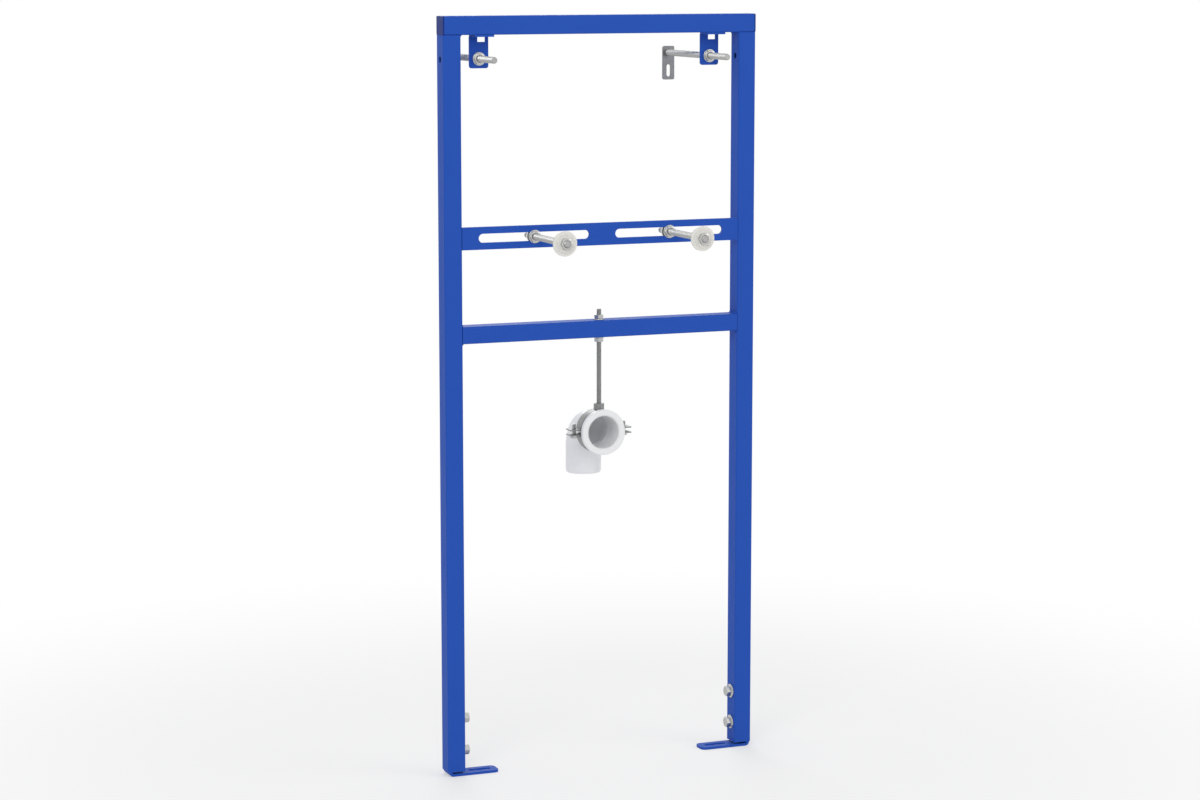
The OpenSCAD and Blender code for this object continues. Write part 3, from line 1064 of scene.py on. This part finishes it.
@dataclass
class BasinFixing:
    """Threaded stud in the slotted plate with its nuts, washers and the bush for the basin."""

    side: Side
    offset: float = 110.0
    height: float = 821.0
    front_end: float = -151.0
    back_end: float = 17.0
    plate_t: float = 5.0
    thread: float = 10.0
    pitch: float = 1.5
    across_flats: float = 16.0
    washer_d: float = 20.0
    washer_t: float = 2.0
    thin: float = 5.0
    full: float = 8.0
    bush_y: float = -141.5
    bush_d: float = 37.5
    bush_t: float = 4.0
    ring_d: float = 28.0
    ring_h: float = 2.5

    @property
    def x(self) -> float:
        """X of the stud's axis."""
        return LAYOUT.middle + self.side.sign * self.offset

    def build(self) -> None:
        """Builds and dresses the fixing."""
        name = self.side.value
        stud, washers, nuts = f"{name}_basin_stud", f"{name}_stud_washers", f"{name}_stud_nuts"
        bush, bush_nut = f"{name}_basin_bush", f"{name}_bush_nut"
        front, back = LAYOUT.front, LAYOUT.front + self.plate_t
        bar = threaded_bar(self.thread, self.back_end - self.front_end, self.pitch)
        add_piece(
            f"{stud}_threaded",
            [self.at(bar, self.front_end)],
            THREAD_ZINC,
            [stud],
            smooth_angle=25.0,
        )
        rings = [
            self.at(washer(self.washer_d, self.thread, self.washer_t), y)
            for y in (front - self.washer_t, back)
        ]
        add_piece(f"{washers}_plated", rings, FASTENER_ZINC, [washers])
        thin_nut = hex_nut(self.across_flats, self.thread, self.thin)
        full_nut = hex_nut(self.across_flats, self.thread, self.full)
        add_piece(
            f"{nuts}_plated",
            [
                self.at(thin_nut, front - self.washer_t - self.thin),
                self.at(full_nut, back + self.washer_t),
            ],
            FASTENER_ZINC,
            [nuts],
        )
        add_piece(f"{bush}_moulded", [self.at(self.bush(), self.bush_y)], BUSH_PLASTIC, [bush])
        end_nut = hex_nut(self.across_flats, self.thread, self.thin)
        add_piece(
            f"{bush_nut}_plated",
            [self.at(end_nut, self.bush_y - self.ring_h - self.thin)],
            FASTENER_ZINC,
            [bush_nut],
        )

    def at(self, bm: bmesh.types.BMesh, y: float) -> bmesh.types.BMesh:
        """Puts a turned mesh on the stud's axis at the given Y."""
        return placed(bm, Axis.Y, (self.x, y, self.height))

    def bush(self) -> bmesh.types.BMesh:
        """Turns the bush: a flange with a rounded rim and a raised ring on its front.

        Returns:
            The bush, its flange from the origin up and its raised ring below.
        """
        rim, ring, bore = self.bush_d / 2, self.ring_d / 2, self.thread / 2
        return lathe(
            [
                (bore, -self.ring_h + 0.4),
                (bore + 0.4, -self.ring_h),
                (ring - 2.6, -self.ring_h),
                (ring - 2.2, -self.ring_h + 0.5),
                (ring - 1.5, -self.ring_h + 0.5),
                (ring - 1.1, -self.ring_h),
                (ring - 0.4, -self.ring_h),
                (ring, -self.ring_h + 0.4),
                (ring + 0.2, -0.3),
                (ring + 0.7, 0.0),
                (rim - 1.1, 0.0),
                (rim - 0.35, 0.25),
                (rim, 0.9),
                (rim, self.bush_t - 0.8),
                (rim - 0.25, self.bush_t - 0.25),
                (rim - 0.8, self.bush_t),
                (bore + 0.5, self.bush_t),
                (bore, self.bush_t - 0.5),
            ],
            96,
        )


@dataclass
class PipeHanger:
    """Threaded hanger in the lower bar with the rubber lined clamp that holds the drain."""

    axis_z: float = 517.5
    top: float = 705.5
    foot: float = 552.0
    thread: float = 8.0
    pitch: float = 1.25
    across_flats: float = 13.0
    nut_h: float = 6.5
    washer_d: float = 16.0
    washer_t: float = 1.6
    bar_low: float = 663.0
    bar_high: float = 689.0
    screw_x: float = 41.0
    screw_d: float = 6.0
    screw_pitch: float = 1.0
    screw_low: float = 508.5
    screw_head: float = 4.0
    screw_l: float = 18.0
    screw_flats: float = 10.0
    band_edge: float = 0.35

    def build(self) -> None:
        """Builds and dresses the hanger and the clamp."""
        bar = threaded_bar(self.thread, self.top - self.foot, self.pitch)
        add_piece(
            "hanger_rod_threaded",
            [self.at(bar, self.foot)],
            THREAD_ZINC,
            ["hanger_rod"],
            smooth_angle=25.0,
        )
        rings = [
            self.at(washer(self.washer_d, self.thread, self.washer_t), z)
            for z in (self.bar_high, self.bar_low - self.washer_t)
        ]
        add_piece("hanger_washers_plated", rings, FASTENER_ZINC, ["hanger_washers"])
        upper = hex_nut(self.across_flats, self.thread, self.nut_h)
        lower = hex_nut(self.across_flats, self.thread, self.nut_h)
        add_piece(
            "hanger_nuts_plated",
            [
                self.at(upper, self.bar_high + self.washer_t),
                self.at(lower, self.bar_low - self.washer_t - self.nut_h),
            ],
            FASTENER_ZINC,
            ["hanger_nuts"],
        )
        for node in ("clamp_upper_half", "clamp_lower_half"):
            add_piece(f"{node}_galvanised", [softened(node, self.band_edge)], GALVANISED, [node])
        add_piece(
            "clamp_lining_rubber",
            [softened("clamp_lining", self.band_edge)],
            LINING_RUBBER,
            ["clamp_lining"],
        )
        add_piece("clamp_screws_plated", self.screws(), FASTENER_ZINC, ["clamp_screws"])

    def at(self, bm: bmesh.types.BMesh, z: float) -> bmesh.types.BMesh:
        """Puts a turned mesh on the hanger's axis at the given height."""
        return placed(bm, Axis.Z, (LAYOUT.middle, 0.0, z))

    def screws(self) -> list[bmesh.types.BMesh]:
        """Makes the two clamp screws, heads down, threads up through the ears.

        Returns:
            Heads and threads, in metres.
        """
        made = []
        for side in Side:
            x = LAYOUT.middle + side.sign * self.screw_x
            head = hex_nut(self.screw_flats, 1.4, self.screw_head)
            made.append(placed(head, Axis.Z, (x, 0.0, self.screw_low)))
            thread = threaded_bar(
                self.screw_d, self.screw_l + self.screw_head - 0.8, self.screw_pitch, 20
            )
            made.append(placed(thread, Axis.Z, (x, 0.0, self.screw_low + 0.8)))
        return made


@dataclass
class DrainElbow:
    """Moulded drain elbow: rimmed socket facing the room, quarter bend and plain spigot."""

    axis_z: float = 517.5
    rim_y: float = -21.5
    rim_d: float = 70.0
    rim_l: float = 9.0
    body_d: float = 58.0
    socket_d: float = 50.0
    socket_end: float = 20.0
    body_end: float = 24.5
    spigot_d: float = 55.0
    bore_d: float = 48.0
    spigot_y: float = 64.0
    bend_r: float = 33.0
    spigot_z: float = 444.0
    count: int = 112
    bend_steps: int = 22

    def build(self) -> None:
        """Builds and dresses the elbow."""
        add_piece(
            "drain_elbow_moulded", [self.shell(), *self.seams()], DRAIN_PLASTIC, ["drain_elbow"]
        )

    def path(self, way_on: float) -> tuple[Vector, Vector]:
        """Gives a point on the centre line and its direction.

        Args:
            way_on: Distance from the rim's front face along the centre line.

        Returns:
            The point and the unit direction.
        """
        straight = self.spigot_y - self.bend_r - self.rim_y
        arc = self.bend_r * math.pi / 2
        x = LAYOUT.middle
        if way_on <= straight:
            return Vector((x, self.rim_y + way_on, self.axis_z)), Vector((0, 1, 0))
        if way_on <= straight + arc:
            turn = (way_on - straight) / self.bend_r
            return (
                Vector(
                    (
                        x,
                        self.spigot_y - self.bend_r + self.bend_r * math.sin(turn),
                        self.axis_z - self.bend_r + self.bend_r * math.cos(turn),
                    )
                ),
                Vector((0, math.cos(turn), -math.sin(turn))),
            )
        drop = way_on - straight - arc
        return Vector((x, self.spigot_y, self.axis_z - self.bend_r - drop)), Vector((0, 0, -1))

    @property
    def lengths(self) -> tuple[float, float, float]:
        """Length of the straight socket part, of the bend and of the whole centre line."""
        straight = self.spigot_y - self.bend_r - self.rim_y
        arc = self.bend_r * math.pi / 2
        return straight, arc, straight + arc + self.axis_z - self.bend_r - self.spigot_z

    def shell(self) -> bmesh.types.BMesh:
        """Sweeps the outside and the inside of the elbow as one closed skin.

        Returns:
            The shell, in metres.
        """
        straight, arc, whole = self.lengths
        rim, body, pipe = self.rim_d / 2, self.body_d / 2, self.spigot_d / 2
        socket, bore = self.socket_d / 2, self.bore_d / 2
        body_end = self.body_end - self.rim_y
        socket_end = self.socket_end - self.rim_y
        outside = [
            (0.0, rim - 2.0),
            (0.25, rim - 0.8),
            (0.9, rim - 0.15),
            (2.0, rim),
            (self.rim_l - 1.6, rim),
            (self.rim_l - 0.6, rim - 0.4),
            (self.rim_l, rim - 1.2),
            (self.rim_l, body + 0.9),
            (self.rim_l + 0.9, body),
            (body_end - 0.5, body),
            (body_end, body - 0.4),
            (body_end, pipe + 0.4),
            (body_end + 0.4, pipe),
        ]
        bend = [straight + arc * k / self.bend_steps for k in range(self.bend_steps + 1)]
        outside += [(s, pipe) for s in bend]
        outside += [
            (whole - 4.0, pipe),
            (whole - 0.5, pipe - 1.25),
            (whole, pipe - 1.9),
            (whole, bore + 0.5),
            (whole - 0.5, bore),
        ]
        inside = [(s, bore) for s in reversed(bend)]
        inside += [
            (socket_end + 0.6, bore),
            (socket_end, bore + 0.3),
            (socket_end, socket - 0.2),
            (socket_end - 0.3, socket),
            (2.0, socket),
            (0.35, socket + 1.65),
            (0.0, socket + 2.0),
        ]
        stations = outside + inside
        points = [self.path(s) for s, _ in stations]
        rings = swept(
            [p for p, _ in points], [w for _, w in points], [r for _, r in stations], self.count
        )
        bm = skin(rings)
        bm.transform(Matrix.Scale(MM, 4))
        return bm

    def seams(self) -> list[bmesh.types.BMesh]:
        """Raises the fine line that the two halves of the mould leave along the bend.

        Returns:
            The seam on the outer and the inner side of the bend, in metres.
        """
        straight, arc, whole = self.lengths
        start, end = straight - 4.0, whole - 6.0
        pipe = self.spigot_d / 2
        made = []
        for way_out in (1.0, -1.0):
            rings = []
            for k in range(61):
                point, way = self.path(start + (end - start) * k / 60)
                up = Vector((1.0, 0.0, 0.0)).cross(way)
                centre = point + way_out * up * (pipe - 0.1)
                rings.append(
                    [
                        centre
                        + 0.32 * math.cos(math.tau * i / 8) * Vector((1.0, 0.0, 0.0))
                        + 0.28 * math.sin(math.tau * i / 8) * up
                        for i in range(8)
                    ]
                )
            bm = skin(rings, closed=False)
            bm.transform(Matrix.Scale(MM, 4))
            made.append(bm)
        return made


# Studio


@dataclass
class Lamp:
    """One soft area lamp aimed at the frame."""

    name: str
    place: tuple[float, float, float]
    size: float
    power: float

    def build(self, aim: Vector) -> None:
        """Hangs the lamp and aims it.

        Args:
            aim: Point that the lamp faces, in metres.
        """
        light = bpy.data.lights.new(self.name, "AREA")
        light.shape = "DISK"
        light.size = self.size
        light.energy = self.power
        lamp = bpy.data.objects.new(self.name, light)
        lamp.location = self.place
        lamp.rotation_euler = (aim - lamp.location).to_track_quat("-Z", "Y").to_euler()
        bpy.context.scene.collection.objects.link(lamp)


@dataclass
class Studio:
    """Pale floor, white surroundings, soft lamps and the camera."""

    aim: tuple[float, float, float] = (0.239, 0.0, 0.6)
    floor_size: float = 14.0
    fade_near: float = 0.5
    fade_far: float = 1.6
    fade_share: float = 0.4
    floor_colour: str = "#F4F4F4"
    fill: float = 0.62
    camera_place: tuple[float, float, float] = (-1.491, -4.263, 1.245)
    yaw: float = 22.11
    tilt: float = 8.41
    focal_px: float = 3039.0
    image_width_px: float = 1200.0
    sensor_mm: float = 36.0

    def build(self) -> None:
        """Builds the floor, the world, the lamps and the camera."""
        aim = Vector(self.aim)
        for lamp in (
            Lamp("key_lamp", (-1.9, -3.0, 3.0), 2.4, 48.0),
            Lamp("fill_lamp", (3.2, -2.6, 1.8), 2.6, 24.0),
            Lamp("back_lamp", (0.9, 3.0, 2.6), 2.2, 34.0),
        ):
            lamp.build(aim)
        self.world()
        self.floor()
        self.camera()

    def seen(self, tree: bpy.types.NodeTree) -> bpy.types.NodeSocket:
        """Gives one for rays that show the background: camera, glossy and transmission rays."""
        path = add_node(tree, "LightPath")
        glossy = add_node(
            tree,
            "Math",
            None,
            {0: path.outputs["Is Camera Ray"], 1: path.outputs["Is Glossy Ray"]},
            operation="MAXIMUM",
        ).outputs[0]
        return add_node(
            tree,
            "Math",
            None,
            {0: glossy, 1: path.outputs["Is Transmission Ray"]},
            operation="MAXIMUM",
        ).outputs[0]

    def world(self) -> None:
        """Lights the frame evenly and shows pure white behind it."""
        world = bpy.data.worlds.new("white_room")
        bpy.context.scene.world = world
        world.use_nodes = True
        tree = world.node_tree
        tree.nodes.clear()
        strength = add_node(
            tree,
            "MapRange",
            {"To Min": self.fill, "To Max": 1.0},
            {"Value": self.seen(tree)},
        ).outputs["Result"]
        light = add_node(
            tree, "Background", {"Color": (1.0, 1.0, 1.0, 1.0)}, {"Strength": strength}
        ).outputs[0]
        add_node(tree, "OutputWorld", None, {"Surface": light})

    def floor(self) -> None:
        """Lays a pale floor that keeps the shadow and fades to white away from the frame."""
        half = self.floor_size / 2
        bm = bmesh.new()
        corners = [
            bm.verts.new((self.aim[0] + sx * half, self.aim[1] + sy * half, 0.0))
            for sx, sy in ((-1, -1), (1, -1), (1, 1), (-1, 1))
        ]
        bm.faces.new(corners)
        mesh = bpy.data.meshes.new("studio_floor")
        bm.to_mesh(mesh)
        bm.free()
        material = bpy.data.materials.new("paper_matt_white")
        material.use_nodes = True
        tree = material.node_tree
        tree.nodes.clear()
        place = add_node(tree, "NewGeometry").outputs["Position"]
        away = add_node(
            tree,
            "VectorMath",
            {1: (self.aim[0], self.aim[1], 0.0)},
            {0: place},
            operation="DISTANCE",
        ).outputs["Value"]
        fade = add_node(
            tree,
            "MapRange",
            {"From Min": self.fade_near, "From Max": self.fade_far, "To Min": self.fade_share},
            {"Value": away},
            interpolation_type="SMOOTHSTEP",
        ).outputs["Result"]
        shown = add_node(
            tree, "Math", None, {0: fade, 1: self.seen(tree)}, operation="MULTIPLY"
        ).outputs[0]
        paper = add_node(
            tree,
            "BsdfDiffuse",
            {"Color": linear(self.floor_colour)},
        ).outputs[0]
        white = add_node(
            tree, "Emission", {"Color": (1.0, 1.0, 1.0, 1.0), "Strength": 1.0}
        ).outputs[0]
        both = add_node(tree, "MixShader", None, {0: shown, 1: paper, 2: white}).outputs[0]
        add_node(tree, "OutputMaterial", None, {"Surface": both})
        mesh.materials.append(material)
        floor = bpy.data.objects.new("studio_floor", mesh)
        bpy.context.scene.collection.objects.link(floor)

    def camera(self) -> None:
        """Puts the camera at the photograph's angle."""
        data = bpy.data.cameras.new("camera")
        data.sensor_width = self.sensor_mm
        data.lens = self.focal_px / self.image_width_px * self.sensor_mm
        data.clip_end = 100.0
        camera = bpy.data.objects.new("camera", data)
        camera.location = self.camera_place
        yaw, tilt = math.radians(self.yaw), math.radians(self.tilt)
        way = Vector(
            (math.sin(yaw) * math.cos(tilt), math.cos(yaw) * math.cos(tilt), -math.sin(tilt))
        )
        camera.rotation_euler = way.to_track_quat("-Z", "Y").to_euler()
        bpy.context.scene.collection.objects.link(camera)
        bpy.context.scene.camera = camera


def main() -> None:
    logging.basicConfig(level=logging.INFO, format="%(name)s: %(message)s")
    scene = bpy.context.scene
    scene.view_settings.view_transform = "Standard"
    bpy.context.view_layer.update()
    for finish in ALL_FINISHES:
        MATERIALS[finish.name] = finish.build()
    assemblies = [
        TubeFrame(),
        *(Foot(side) for side in Side),
        *(WallFixing(side) for side in Side),
        *(BasinFixing(side) for side in Side),
        PipeHanger(),
        DrainElbow(),
    ]
    for assembly in assemblies:
        assembly.build()
    Studio().build()


if __name__ == "__main__":
    main()
